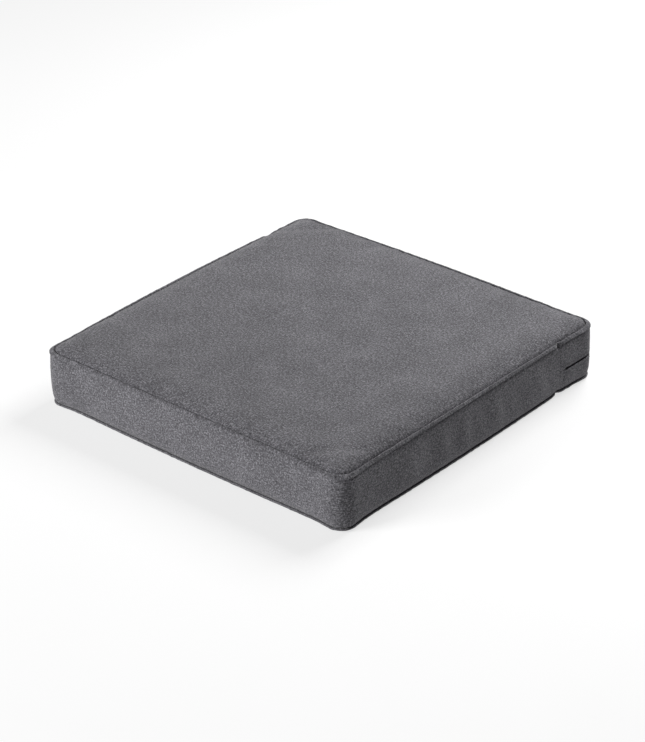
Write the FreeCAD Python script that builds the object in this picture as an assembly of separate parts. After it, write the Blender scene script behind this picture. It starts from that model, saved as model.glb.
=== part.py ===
import FreeCAD, Part

import math
import os

# Boxed garden cushion: a foam block wrapped in wadding, in a sewn and piped fabric cover.
#
# The cover is a top and a bottom panel joined to an upright boxing by piped seams. The boxing is one
# strip round the front and sides, and two flaps with a zip between them round the back. Millimetres, +Z up,
# front towards -Y, origin on the floor under the middle. In a cross-section, n is the distance outward
# from the boxing's outer face, z the height, and w the height above the zip's centre line.

V = FreeCAD.Vector

# Overall
cover_width = 600.0  # X, between the boxing's outer faces
cover_depth = 600.0  # Y
cover_height = 95.0
corner_radius = 24.0  # upright corners, in plan
edge_radius = 9.0  # where a panel turns up or down to its seam

# Fabric and seams
fabric = 0.8
allowance_depth = 5.5  # seam allowance, from the rounded edge inward
thread_diameter = 0.5
thread_gap = 0.05

# Piping
piping_diameter = 5.0
piping_rise = 0.4  # its lowest point, above the flat of the panel
cord_clearance = 0.05
piping_bite = 0.3  # how far the tube sinks into the seam
piping_joint_gap = 0.5  # where the two ends of a piping meet

# Filling
wadding_thickness = 8.0
wadding_edge_radius = 20.0
side_gap = 0.65  # turned-in fabric and tape to wadding
flat_gap = 0.3  # cover to wadding above and below
foam_gap = 0.3
foam_edge_radius = 12.0

# Zip
zip_height = 44.0  # its centre line, above the floor
zip_wrap = 88.0  # how far the zip panel runs forward from the back, on each side
slot_inset = 14.0  # from an upright seam to the end of the slot
slot_gap = 3.0  # between the two folded lips
lip_meeting_gap = 0.3  # between the lips where the slot has ended
upright_gap = 0.6  # between boxing strip and flap, holds the seam thread
upright_allowance = 10.0
coil_width = 3.0  # one half
coil_thickness = 2.3
coil_rounding = 0.8
coil_split = 0.1  # between the two halves
tape_thickness = 0.5
tape_inner = 1.2  # tape edge under the coil, from the centre line
tape_margin = 1.2  # slider to where the tape starts to rise
tape_slope = 1.2  # width of the rising stretch
tape_seat = 6.0  # width that lies flat on the flap
stitch_inset = 1.0  # row of stitches, from the seat's inner edge
running_gap = 0.25  # slider to coil and to tape

# Slider and puller
plate_length = 11.5
plate_thickness = 1.0
plate_corner = 2.2
lip_clearance = 0.3
flange_thickness = 1.2
divider_length = 4.0
divider_half_width = 0.9
bridge_length = 8.5
bridge_width = 1.8
bridge_bar = 1.05
leg_length = 1.5
pivot_height = 0.9  # puller's pivot, outward from the boxing
pin_diameter = 1.5
pin_gap = 0.05
puller_length = 26.0
puller_width = 8.0
puller_thickness = 1.4
puller_neck = 5.6
puller_eye = 2.6  # opening between the two arms
puller_reach = 6.0  # pivot to the solid part of the tab
puller_tip_corner = 2.9
puller_shoulder = 1.1
puller_hole = 4.0
slider_end_room = 14.0  # slider's centre to the start of the corner, when closed
stop_thickness = 0.6
stop_length = 2.5
bartack_reach = 3.5  # above and below the centre line
bartack_length = 2.2

half_width = cover_width / 2
half_depth = cover_depth / 2
seam_y = half_depth - zip_wrap  # the two upright seams
slot_y = seam_y + slot_inset  # the two ends of the slot
upright_low = edge_radius + fabric
upright_high = cover_height - edge_radius - fabric
tube_radius = piping_diameter / 2
cord_radius = tube_radius - fabric - cord_clearance
tube_offset = edge_radius + tube_radius - piping_bite  # from the rounded edge's centre
tube_foot = tube_offset - math.sqrt(tube_radius ** 2 - fabric ** 2)  # where the tube meets its flange
allowance_end = edge_radius - allowance_depth
seam_angle = math.asin((edge_radius - tube_radius - piping_rise) / tube_offset)  # below level

# Depths behind the boxing's face, outside in
lip_back = -2 * fabric
plate_top = lip_back - lip_clearance
coil_top = plate_top - plate_thickness - running_gap
tape_top = coil_top - coil_thickness
tape_bottom = tape_top - tape_thickness
plate_bottom = tape_bottom - running_gap - plate_thickness
seat_top = lip_back - thread_gap
wadding_face = seat_top - tape_thickness - side_gap
foam_face = wadding_face - wadding_thickness - foam_gap

# Heights above and below the zip's centre line
plate_half = coil_width + running_gap + flange_thickness
tape_step = plate_half + tape_margin
tape_flat = tape_step + tape_slope
tape_edge = tape_flat + tape_seat
stitch_height = tape_flat + stitch_inset
slider_x = -(half_width - corner_radius - slider_end_room)


# Cross-sections, as faces in the XZ plane: x is n, z is height above the floor


def polygon(points):
    """A face through (n, z) points."""
    corners = [V(n, 0, z) for n, z in points]
    return Part.Face(Part.makePolygon(corners + corners[:1]))


def disc(centre, radius):
    """A round face."""
    return Part.Face(Part.Wire(Part.makeCircle(radius, centre, V(0, 1, 0))))


def on_edge(radius, angle):
    """A point round the bottom edge's centre, at an angle in radians above level."""
    return V(-edge_radius + radius * math.cos(angle), 0, edge_radius + radius * math.sin(angle))


def at_seam(out, across):
    """A point beside the bottom seam: outward from the edge's centre, and across the seam, up positive."""
    return on_edge(out, -seam_angle) + V(math.sin(seam_angle), 0, math.cos(seam_angle)) * across


def edge_part(side):
    """The edge's fabric from the seam, upward (side 1) or downward (side -1), with its seam allowance.

    The outline goes round the outside to the piping, in along the seam and back round the inside.
    """
    end = 0.0 if side > 0 else -math.pi / 2
    inner = edge_radius - fabric
    touch = (edge_radius ** 2 - tube_radius ** 2 + tube_offset ** 2) / (2 * tube_offset)
    piping_angle = side * math.acos(touch / edge_radius) - seam_angle
    fold_angle = side * math.asin(2 * fabric / inner) - seam_angle
    outside = on_edge(edge_radius, end)
    at_piping = on_edge(edge_radius, piping_angle)
    under_piping = at_seam(tube_foot, side * fabric)
    allowance = at_seam(allowance_end, side * fabric)
    allowance_back = at_seam(allowance_end, 2 * side * fabric)
    fold = on_edge(inner, fold_angle)
    inside = on_edge(inner, end)
    tube = at_seam(tube_offset, 0)
    nearest = ((at_piping + under_piping) / 2 - tube).normalize() * tube_radius + tube
    outline = [Part.Arc(outside, on_edge(edge_radius, (end + piping_angle) / 2), at_piping).toShape(),
               Part.Arc(at_piping, nearest, under_piping).toShape(),
               Part.makeLine(under_piping, allowance),
               Part.makeLine(allowance, allowance_back),
               Part.makeLine(allowance_back, fold),
               Part.Arc(fold, on_edge(inner, (end + fold_angle) / 2), inside).toShape(),
               Part.makeLine(inside, outside)]
    return Part.Face(Part.Wire(outline))


def upside_down(shape):
    """The same shape at the cushion's other face."""
    return shape.mirror(V(0, 0, cover_height / 2), V(0, 0, 1))


# Running a cross-section round the cushion. Side 0 is the right, 1 the back, 2 the left and 3 the front


def side_run(face, side, start=None, end=None):
    """The section drawn along one side, between two distances from its middle, anticlockwise."""
    half, other = (half_width, half_depth) if side % 2 == 0 else (half_depth, half_width)
    start = -(other - corner_radius) if start is None else start
    end = other - corner_radius if end is None else end
    moved = face.copy()
    moved.translate(V(half, start, 0))
    solid = moved.extrude(V(0, end - start, 0))
    solid.rotate(V(0, 0, 0), V(0, 0, 1), 90 * side)
    return solid


def corner_run(face, side):
    """The section turned round the corner that follows a side."""
    half, other = (half_width, half_depth) if side % 2 == 0 else (half_depth, half_width)
    moved = face.copy()
    centre = V(half - corner_radius, other - corner_radius, 0)
    moved.translate(V(half, centre.y, 0))
    solid = moved.revolve(centre, V(0, 0, 1), 90)
    solid.rotate(V(0, 0, 0), V(0, 0, 1), 90 * side)
    return solid


def joined(solids):
    """One shape from touching solids."""
    return solids[0].multiFuse(solids[1:]).removeSplitter()


def ring(face):
    """The section run all the way round."""
    return joined([side_run(face, k) for k in range(4)] + [corner_run(face, k) for k in range(4)])


def back_run(face, inset=0.0):
    """The section run round the back, from one upright seam to the other."""
    end = seam_y + upright_gap / 2 + inset
    return joined([side_run(face, 0, start=end), corner_run(face, 0), side_run(face, 1),
                   corner_run(face, 1), side_run(face, 2, end=-end)])


def front_run(face):
    """The section run round the front, from one upright seam to the other."""
    end = seam_y - upright_gap / 2
    return joined([side_run(face, 2, start=-end), corner_run(face, 2), side_run(face, 3),
                   corner_run(face, 3), side_run(face, 0, end=end)])


def block(inset, low, high, plan_radius):
    """A solid with the cushion's plan, inset from the boxing's face, between two heights."""
    width, depth = cover_width - 2 * inset, cover_depth - 2 * inset
    solid = Part.makeBox(width, depth, high - low, V(-width / 2, -depth / 2, low))
    upright = [e for e in solid.Edges if abs(e.Vertexes[0].Z - e.Vertexes[1].Z) > 1e-6]
    return solid.makeFillet(plan_radius, upright)


def rounded_rims(solid, radius, heights):
    """Rounds the edges that lie at the given heights."""
    rims = [e for e in solid.Edges if any(abs(v.Z - h) < 1e-6 for h in heights for v in e.Vertexes[:1])
            and abs(e.BoundBox.ZLength) < 1e-6]
    return solid.makeFillet(radius, rims)


# Cover panels


def bottom_panel():
    plate = block(edge_radius, 0, fabric, corner_radius - edge_radius)
    return joined([plate, ring(edge_part(-1))])


def boxing_strip():
    """The boxing round the front and sides, its two ends turned back at the upright seams."""
    wall = polygon([(-fabric, edge_radius), (0, edge_radius),
                    (0, cover_height - edge_radius), (-fabric, cover_height - edge_radius)])
    foot = front_run(edge_part(1))
    turned = polygon([(-2 * fabric, upright_low), (-fabric, upright_low),
                      (-fabric, upright_high), (-2 * fabric, upright_high)])
    end = seam_y - upright_gap / 2
    right = side_run(turned, 0, end - upright_allowance, end)
    left = side_run(turned, 2, -end, -end + upright_allowance)
    return joined([front_run(wall), foot, upside_down(foot), right, left])


def flap(middle):
    """A zip flap standing on the bottom seam, up to a zip whose centre line is at the given height.

    Its upper edge is folded in behind itself as the lip. The lip stands back from the zip, and comes up to
    meet the other one between the ends of the slot and the upright seams.
    """
    lip = middle - slot_gap / 2
    wall = polygon([(-fabric, edge_radius), (0, edge_radius), (0, lip), (lip_back, lip),
                    (lip_back, middle - tape_edge), (-fabric, middle - tape_edge)])
    meeting = middle - lip_meeting_gap / 2
    raised = polygon([(lip_back, lip), (0, lip), (0, meeting), (lip_back, meeting)])
    start = seam_y + upright_gap / 2
    right = side_run(raised, 0, start, slot_y)
    left = side_run(raised, 2, -slot_y, -start)
    return joined([back_run(wall), back_run(edge_part(1)), right, left])


def zip_flap_lower():
    return flap(zip_height)


def zip_flap_upper():
    return upside_down(flap(cover_height - zip_height))


# Piping


def with_joint(solid):
    """The piping cut through where its two ends meet, at the right-hand upright seam."""
    reach = 4 * edge_radius
    gap = Part.makeBox(reach, piping_joint_gap, cover_height + 2 * reach,
                       V(half_width - reach / 2, seam_y - piping_joint_gap / 2, -reach))
    return solid.cut(gap)


def piping_cover():
    """Fabric folded round the cord, its two layers caught in the seam."""
    upper, lower = at_seam(tube_foot, fabric), at_seam(tube_foot, -fabric)
    tube = Part.Arc(upper, at_seam(tube_offset + tube_radius, 0), lower).toShape()
    flange = Part.makePolygon([lower, at_seam(allowance_end, -fabric), at_seam(allowance_end, fabric), upper])
    section = Part.Face(Part.Wire([tube] + flange.Edges))
    return with_joint(ring(section.cut(disc(at_seam(tube_offset, 0), tube_radius - fabric)).Faces[0]))


def piping_cord():
    return with_joint(ring(disc(at_seam(tube_offset, 0), cord_radius)))


# Threads


def seam_thread():
    """Needle and bobbin thread of the bottom seam, one on each side of the seam allowances."""
    radius = thread_diameter / 2
    middle = edge_radius - allowance_depth / 2
    rest = 2 * fabric + thread_gap + radius
    return Part.makeCompound([ring(disc(at_seam(middle, side * rest), radius)) for side in (-1, 1)])


def upright_seam_threads():
    """The threads of the two upright seams, each in the gap between boxing strip and flap."""
    places = [V(side * (half_width - fabric / 2), seam_y, upright_low) for side in (-1, 1)]
    return Part.makeCompound([Part.makeCylinder(thread_diameter / 2, upright_high - upright_low, place)
                              for place in places])


def topstitch(side):
    """The row of stitches that holds the tape to a flap; side is 1 above the zip and -1 below."""
    radius = thread_diameter / 2
    centre = V(radius + thread_gap, 0, zip_height + side * stitch_height)
    return back_run(disc(centre, radius), upright_gap)


# Filling


def foam_core():
    inset = -foam_face
    low = fabric + flat_gap + wadding_thickness + foam_gap
    solid = block(inset, low, cover_height - low, corner_radius)
    return rounded_rims(solid, foam_edge_radius, (low, cover_height - low))


def wadding_under(middle):
    """A sheet under the foam, turned up its sides to the bare band along a zip at the given height."""
    low = fabric + flat_gap
    inset = -wadding_face
    rim = middle - tape_edge
    outside = rounded_rims(block(inset, low, rim, corner_radius), wadding_edge_radius, (low,))
    inner_radius = wadding_edge_radius - wadding_thickness
    floor = low + wadding_thickness
    hollow = block(inset + wadding_thickness, floor, 2 * rim, corner_radius)
    return outside.cut(rounded_rims(hollow, inner_radius, (floor,)))


# Zip


def mirrored_at_zip(shape):
    return shape.mirror(V(0, 0, zip_height), V(0, 0, 1))


def zip_tape_upper():
    """Woven tape: level under the coil, then stepping out to lie against the flap's fold."""
    seat_back = seat_top - tape_thickness
    lean = tape_thickness / 2
    outline = [(tape_inner, tape_top), (tape_step, tape_top), (tape_flat, seat_top), (tape_edge, seat_top),
               (tape_edge, seat_back), (tape_flat + lean, seat_back), (tape_step + lean, tape_bottom),
               (tape_inner, tape_bottom)]
    return back_run(polygon([(n, zip_height + w) for w, n in outline]))


def zip_coil_upper():
    """One half of the coil, as the solid that its turns fill, parted round the slider's divider."""
    low = zip_height + coil_split / 2
    high = zip_height + coil_width
    section = polygon([(tape_top, low), (coil_top, low), (coil_top, high - coil_rounding),
                       (coil_top - coil_rounding, high), (tape_top, high)])
    return back_run(section).cut(divider(running_gap))


def in_slot(x, n, w):
    """A point at the zip: x along the back, n outward, w above the centre line."""
    return V(x, half_depth + n, zip_height + w)


def slot_box(x0, x1, n0, n1, half):
    """A box across the zip's centre line."""
    return Part.makeBox(x1 - x0, n1 - n0, 2 * half, in_slot(x0, n0, -half))


def plate(n0, n1):
    """A rounded plate of the slider, between two depths."""
    box = slot_box(slider_x - plate_length / 2, slider_x + plate_length / 2, n0, n1, plate_half)
    corners = [e for e in box.Edges if e.BoundBox.YLength > (n1 - n0) / 2]
    return box.makeFillet(plate_corner, corners)


def divider(clearance=0.0):
    """The lens-shaped post between the slider's plates, at its nose, where the coil parts."""
    nose = slider_x - plate_length / 2 + plate_thickness
    half = divider_half_width + clearance
    start, end = nose - clearance, nose + divider_length + clearance
    middle = (start + end) / 2
    n0 = plate_bottom + plate_thickness
    tips = in_slot(start, n0, 0), in_slot(end, n0, 0)
    arcs = [Part.Arc(tips[0], in_slot(middle, n0, side * half), tips[1]).toShape() for side in (-1, 1)]
    return Part.Face(Part.Wire(arcs)).extrude(V(0, plate_top - plate_thickness - n0, 0))


def slider_body():
    """Two plates joined by the divider, flanges that close on the coil, and the bridge for the puller."""
    top = plate(plate_top - plate_thickness, plate_top)
    base = plate(plate_bottom, plate_bottom + plate_thickness)
    flange_bottom = tape_top + running_gap
    flange_length = plate_length - 2 * plate_corner
    flanges = [Part.makeBox(flange_length, plate_top - flange_bottom, flange_thickness,
                            in_slot(slider_x - flange_length / 2, flange_bottom, w))
               for w in (coil_width + running_gap, -plate_half)]
    inside = pivot_height + pin_diameter / 2 + pin_gap
    front, back = slider_x - bridge_length / 2, slider_x + bridge_length / 2
    arch = slot_box(front, back, plate_top, inside + bridge_bar, bridge_width / 2)
    arch = arch.makeFillet(bridge_bar, [e for e in arch.Edges if e.BoundBox.ZLength > bridge_width / 2
                                        and e.BoundBox.YMax > half_depth + inside])
    window = slot_box(front + leg_length, back - leg_length, plate_top, inside, bridge_width)
    return joined([top, base, divider()] + flanges + [arch.cut(window)])


def puller():
    """A flat tab on two arms, with the pin that hangs in the slider's bridge."""
    half = puller_thickness / 2
    n0, n1 = pivot_height - half, pivot_height + half
    end = slider_x + puller_length
    tab = slot_box(slider_x + puller_reach, end, n0, n1, puller_width / 2)
    upright = [e for e in tab.Edges if e.BoundBox.YLength > half]
    tab = tab.makeFillet(puller_tip_corner, [e for e in upright if e.BoundBox.XMin > end - half])
    upright = [e for e in tab.Edges if e.BoundBox.YLength > half]
    tab = tab.makeFillet(puller_shoulder, [e for e in upright
                                           if e.BoundBox.XMax < slider_x + puller_reach + half])
    neck = slot_box(slider_x, slider_x + puller_reach + half, n0, n1, puller_neck / 2)
    eye = slot_box(slider_x - half, slider_x + puller_reach, n0 - half, n1 + half, puller_eye / 2)
    pin = Part.makeCylinder(pin_diameter / 2, puller_neck, in_slot(slider_x, pivot_height, -puller_neck / 2))
    hole = Part.makeCylinder(puller_hole / 2, 4 * half,
                             in_slot(end - puller_width / 2, n0 - half, 0), V(0, 1, 0))
    return joined([tab, neck]).cut(eye).fuse(pin).cut(hole).removeSplitter()


def zip_closed_end_stop():
    """Stitches over the coil that stop the closed slider."""
    nose = slider_x - plate_length / 2 - running_gap
    return slot_box(nose - stop_length, nose, coil_top + thread_gap, coil_top + thread_gap + stop_thickness,
                    coil_width)


def zip_bartacks():
    """Stitches across the two lips at the ends of the slot."""
    size = V(stop_thickness, bartack_length, 2 * bartack_reach)
    tacks = []
    for side in (-1, 1):
        x = half_width + thread_gap if side > 0 else -half_width - thread_gap - size.x
        tacks.append(Part.makeBox(size.x, size.y, size.z,
                                  V(x, slot_y - bartack_length, zip_height - bartack_reach)))
    return Part.makeCompound(tacks)


bottom = bottom_panel()
piping = piping_cover()
cord = piping_cord()
thread = seam_thread()
tape = zip_tape_upper()
coil = zip_coil_upper()

parts = {
    "top_panel": upside_down(bottom),
    "bottom_panel": bottom,
    "boxing_strip": boxing_strip(),
    "zip_flap_upper": zip_flap_upper(),
    "zip_flap_lower": zip_flap_lower(),
    "top_piping_cover": upside_down(piping),
    "top_piping_cord": upside_down(cord),
    "bottom_piping_cover": piping,
    "bottom_piping_cord": cord,
    "top_seam_thread": upside_down(thread),
    "bottom_seam_thread": thread,
    "upright_seam_threads": upright_seam_threads(),
    "zip_topstitch_upper": topstitch(1),
    "zip_topstitch_lower": topstitch(-1),
    "foam_core": foam_core(),
    "wadding_top": upside_down(wadding_under(cover_height - zip_height)),
    "wadding_bottom": wadding_under(zip_height),
    "zip_tape_upper": tape,
    "zip_tape_lower": mirrored_at_zip(tape),
    "zip_coil_upper": coil,
    "zip_coil_lower": mirrored_at_zip(coil),
    "zip_closed_end_stop": zip_closed_end_stop(),
    "zip_bartacks": zip_bartacks(),
    "zip_slider": slider_body(),
    "zip_puller": puller(),
}

os.makedirs("parts", exist_ok=True)
for name, shape in parts.items():
    shape.exportStep(f"parts/{name}.step")
    print(f"{name:24s} solids {len(shape.Solids)} valid {shape.isValid()} volume {shape.Volume:.1f}")
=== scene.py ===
import math
import random

import bmesh
import bpy
import numpy as np
from mathutils import Matrix, Vector, noise
from mathutils.bvhtree import BVHTree


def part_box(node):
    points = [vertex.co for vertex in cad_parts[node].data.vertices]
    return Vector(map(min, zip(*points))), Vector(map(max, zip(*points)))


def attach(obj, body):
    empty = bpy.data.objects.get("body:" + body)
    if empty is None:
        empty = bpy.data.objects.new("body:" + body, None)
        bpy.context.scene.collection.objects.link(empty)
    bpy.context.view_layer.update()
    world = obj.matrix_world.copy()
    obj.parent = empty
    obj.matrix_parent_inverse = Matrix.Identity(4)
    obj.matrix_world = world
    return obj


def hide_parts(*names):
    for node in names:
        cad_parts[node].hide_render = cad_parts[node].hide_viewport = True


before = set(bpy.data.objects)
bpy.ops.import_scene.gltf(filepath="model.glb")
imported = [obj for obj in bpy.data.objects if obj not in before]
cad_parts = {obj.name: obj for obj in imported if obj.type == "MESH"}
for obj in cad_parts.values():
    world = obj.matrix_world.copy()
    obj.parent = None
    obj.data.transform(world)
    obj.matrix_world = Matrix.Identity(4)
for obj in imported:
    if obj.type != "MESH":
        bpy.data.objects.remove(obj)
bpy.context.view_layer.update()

# A boxed garden cushion: foam and wadding in a piped cover with a zip round the back.
# Metres. s is the distance round the cushion, anticlockwise from the middle of the right side,
# n the distance outward from the boxing's outer face, z the height.

mm = 0.001
random.seed(7)

# What the frame settles
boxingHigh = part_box("boxing_strip")[1]
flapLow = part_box("zip_flap_upper")[0]
sliderLow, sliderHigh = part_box("zip_slider")
half = boxingHigh.x
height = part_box("top_panel")[1].z
seamY = (boxingHigh.y + flapLow.y) / 2  # the two upright seams
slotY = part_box("zip_bartacks")[1].y  # the two ends of the zip's slot
zipZ = (sliderLow.z + sliderHigh.z) / 2

cut = {
    "cornerRadius": 24 * mm,
    "edgeRadius": 9 * mm,
    "cloth": 0.8 * mm,
    "pipingRadius": 2.5 * mm,
    "pipingBite": 0.3 * mm,
    "allowance": 5.5 * mm,
    "seamTurn": 1.0 * mm,  # how tightly the cloth turns in beside the piping
    "uprightTurn": 0.8 * mm,
    "uprightGap": 0.25 * mm,
    "uprightAllowance": 10 * mm,
    "threadRadius": 0.25 * mm,
}
cloth = cut["cloth"]
edge = cut["edgeRadius"]
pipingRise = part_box("bottom_piping_cover")[0].z
pipingOut = edge + cut["pipingRadius"] - cut["pipingBite"]  # from the rounded edge's centre
seamAngle = math.asin((edge - cut["pipingRadius"] - pipingRise) / pipingOut)
allowanceEnd = edge - cut["allowance"]


# Camera

cameraView = {
    "azimuth": 41.7,  # degrees round from the front, towards the right
    "elevation": 29.35,
    "roll": -1.35,
    "distance": 4.119,
    "raise": 0.0271,
    "lens": 126.8,
}


def makeCamera(v):
    a, e, r = (math.radians(v[k]) for k in ("azimuth", "elevation", "roll"))
    back = Vector((math.sin(a) * math.cos(e), -math.cos(a) * math.cos(e), math.sin(e)))
    level = Vector((math.cos(a), math.sin(a), 0))
    upright = back.cross(level)
    across = level * math.cos(r) + upright * math.sin(r)
    up = upright * math.cos(r) - level * math.sin(r)
    data = bpy.data.cameras.new("view")
    data.lens = v["lens"]
    camera = bpy.data.objects.new("view", data)
    bpy.context.scene.collection.objects.link(camera)
    turn = Matrix((across, up, back)).transposed().to_4x4()
    camera.matrix_world = Matrix.Translation(back * v["distance"] + up * v["raise"]) @ turn
    bpy.context.scene.camera = camera


makeCamera(cameraView)
print("camera set")


# Shader helpers

# A node's output that takes part in sums: each operation on it adds the Math node that does it
class Wire:
    def __init__(self, paint, socket):
        self.paint = paint
        self.socket = socket

    def maths(self, operation, *others):
        return self.paint.maths(operation, self, *others)

    def __add__(self, other):
        return self.maths("ADD", other)

    __radd__ = __add__

    def __sub__(self, other):
        return self.maths("SUBTRACT", other)

    def __rsub__(self, other):
        return self.paint.maths("SUBTRACT", other, self)

    def __mul__(self, other):
        return self.maths("MULTIPLY", other)

    def __truediv__(self, other):
        return self.maths("DIVIDE", other)

    def __gt__(self, other):
        return self.maths("GREATER_THAN", other)

    def __abs__(self):
        return self.maths("ABSOLUTE")


# One material and its nodes
class Paint:
    def __init__(self, name, viewColour):
        self.material = bpy.data.materials.new(name)
        self.material.use_nodes = True
        self.material.diffuse_color = (*viewColour, 1)
        self.tree = self.material.node_tree
        self.tree.nodes.clear()

    # settings are set first, because some of them change the sockets
    def node(self, kind, settings=None, sockets=None, out=0):
        made = self.tree.nodes.new("ShaderNode" + kind)
        for key, value in (settings or {}).items():
            if key == "stops":
                self.setStops(made.color_ramp, value)
            else:
                setattr(made, key, value)
        for key, value in (sockets or {}).items():
            if isinstance(value, Wire):
                self.tree.links.new(value.socket, made.inputs[key])
            else:
                made.inputs[key].default_value = value
        return Wire(self, made.outputs[out])

    # stops are (place, colour) pairs
    def setStops(self, ramp, stops):
        while len(ramp.elements) < len(stops):
            ramp.elements.new(1)
        for element, (place, colour) in zip(ramp.elements, stops):
            element.position = place
            element.color = (*colour, 1)

    def maths(self, operation, *values):
        return self.node("Math", {"operation": operation}, dict(enumerate(values)))

    # a and b are a node's output or a colour's three numbers
    def mix(self, amount, a, b):
        a, b = ((*colour, 1) if isinstance(colour, tuple) else colour for colour in (a, b))
        return self.node("Mix", {"data_type": "RGBA"}, {0: amount, 6: a, 7: b}, out=2)

    def place(self, x, y, z=0.0):
        return self.node("CombineXYZ", None, {"X": x, "Y": y, "Z": z})

    def split(self, vector):
        first = self.node("SeparateXYZ", None, {"Vector": vector})
        return [Wire(self, output) for output in first.socket.node.outputs]

    # the place in the object's own metres
    def ownPlace(self):
        return self.node("TexCoord", out="Object")

    # the place on the cloth, in metres across and along it
    def clothPlace(self):
        laid = self.node("UVMap", {"uv_map": "weave"})
        return laid, *self.split(laid)[:2]

    # a noise from 0 to 1, so many waves to the metre
    def clouds(self, where, waves, detail=2.0, roughness=0.5, settings=None):
        return self.node("TexNoise", settings, {"Vector": where, "Scale": waves, "Detail": detail,
                                                "Roughness": roughness})

    def bump(self, height, depth, strength):
        return self.node("Bump", None, {"Height": height, "Distance": depth, "Strength": strength})

    # the finished surface, with the shader's further sockets
    def finish(self, colour, roughness, sockets):
        shader = self.node("BsdfPrincipled", None, {"Base Color": colour, "Roughness": roughness, **sockets})
        output = self.tree.nodes.new("ShaderNodeOutputMaterial")
        self.tree.links.new(shader.socket, output.inputs["Surface"])
        return self.material


# Materials

coverCloth = {
    "yarnPitch": 1.15 * mm,
    "dark": (0.0265, 0.0256, 0.0287),
    "middle": (0.0975, 0.0948, 0.1047),
    "light": (0.288, 0.283, 0.305),
    "shadesAt": (0.36, 0.50, 0.66),  # places of the three shades in the mottle
    "slubLength": 7 * mm,
    "slubShare": 0.40,
    "speckSize": 2.6 * mm,
    "speckShare": 0.60,
    "cloudSize": 70 * mm,
    "cloudShare": 0.10,
    "reliefDepth": 0.30 * mm,
    "roughness": 0.9,
    "sheen": 0.12,
}


# Plain weave in mottled yarn. The yarns follow the weave map, which is laid out in metres of cloth
def weaveMaterial(c):
    p = Paint("melangeCloth", c["middle"])
    laid, across, along = p.clothPlace()
    u, v = across / c["yarnPitch"], along / c["yarnPitch"]
    warp, weft = u.maths("FLOOR"), v.maths("FLOOR")

    # each yarn rises over every second one that it crosses
    def yarn(index, crossing, width, side):
        turn = (index * math.pi).maths("COSINE") * ((crossing - 0.5) * math.pi).maths("COSINE") * side
        return abs((width * math.pi).maths("SINE")) * (turn * 0.35 + 0.65)

    warpHeight = yarn(warp, v, u, 1)
    weftHeight = yarn(weft, u, v, -1)
    warpShows = warpHeight > weftHeight
    relief = warpHeight.maths("MAXIMUM", weftHeight)

    # light and dark lengths in each yarn, and specks where fibres of one shade bunch up
    slub = 1 / c["slubLength"]
    warpShade = p.clouds(p.place(warp * 7.3, along * slub), 1.0, 1.0)
    weftShade = p.clouds(p.place(weft * 5.9, across * slub, 4.0), 1.0, 1.0)
    shade = warpShade * warpShows + weftShade * (1 - warpShows)
    specks = p.clouds(laid, 1 / c["speckSize"], 2.0, 0.65)
    broad = p.clouds(laid, 1 / c["cloudSize"], 3.0)
    mottle = shade * c["slubShare"] + specks * c["speckShare"]
    mottle = mottle + broad * c["cloudShare"] - c["cloudShare"] / 2
    stops = list(zip(c["shadesAt"], (c["dark"], c["middle"], c["light"])))
    colour = p.node("ValToRGB", {"stops": stops}, {"Fac": mottle})
    shadow = relief * 0.5 + 0.5
    colour = p.mix(shadow, c["dark"], colour)
    fuzz = p.clouds(laid, 2600.0, 2.0)
    normal = p.bump(relief + fuzz * 0.35, c["reliefDepth"], 0.75)
    return p.finish(colour, c["roughness"] - relief * 0.08, {
        "Normal": normal,
        "Sheen Weight": c["sheen"],
        "Sheen Roughness": 0.45,
        "Specular IOR Level": 0.25,
    })


threadFinish = {"dark": (0.022, 0.022, 0.025), "light": (0.085, 0.083, 0.090), "plyPitch": 0.9 * mm}


# Twisted sewing thread: slanting plies, a little shine
def threadMaterial(c):
    p = Paint("sewingThread", c["light"])
    laid, across, along = p.clothPlace()
    ply = ((across + along) * (2 * math.pi / c["plyPitch"])).maths("SINE") * 0.5 + 0.5
    fibre = p.clouds(laid, 3000.0)
    # the grooves between the plies are painted darker: painted shade; the fibre noise is the thread's own
    # tone
    colour = p.mix(ply * 0.7 + fibre * 0.3, c["dark"], c["light"])
    return p.finish(colour, 0.45 + fibre * 0.2, {"Normal": p.bump(ply, 0.08 * mm, 0.8), "Sheen Weight": 0.1})


tapeFinish = {"dark": (0.012, 0.012, 0.013), "light": (0.050, 0.049, 0.053), "ribPitch": 0.7 * mm}


# Zip tape: fine herringbone ribs, from the object's own place
def tapeMaterial(c):
    p = Paint("zipTape", c["light"])
    laid = p.ownPlace()
    x, y, z = p.split(laid)
    zigzag = abs((z / (4 * c["ribPitch"])).maths("FRACT") - 0.5) * (4 * c["ribPitch"])
    rib = ((x + y + zigzag) * (2 * math.pi / c["ribPitch"])).maths("SINE") * 0.5 + 0.5
    grain = p.clouds(laid, 1500.0)
    # the grooves between the ribs are painted darker: painted shade; the grain noise is the tape's own tone
    colour = p.mix(rib * 0.6 + grain * 0.4, c["dark"], c["light"])
    normal = p.bump(rib, 0.12 * mm, 0.7)
    return p.finish(colour, 0.75 + grain * 0.15, {"Normal": normal, "Sheen Weight": 0.1})


coilFinish = {"colour": (0.020, 0.020, 0.022), "worn": (0.055, 0.055, 0.060)}


# Nylon coil, polished where the slider has run over it
def coilMaterial(c):
    p = Paint("nylonCoil", c["colour"])
    laid = p.ownPlace()
    rubbed = p.clouds(laid, 90.0, 3.0)
    grain = p.clouds(laid, 2200.0)
    colour = p.mix(rubbed, c["colour"], c["worn"])
    return p.finish(colour, 0.28 + grain * 0.15 + rubbed * 0.1, {"Normal": p.bump(grain, 0.03 * mm, 0.5)})


metalFinish = {
    "lacquer": (0.018, 0.018, 0.020),
    "bare": (0.42, 0.40, 0.38),
    "wearFrom": 0.60,  # lower rubs more of the lacquer off
}


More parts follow.
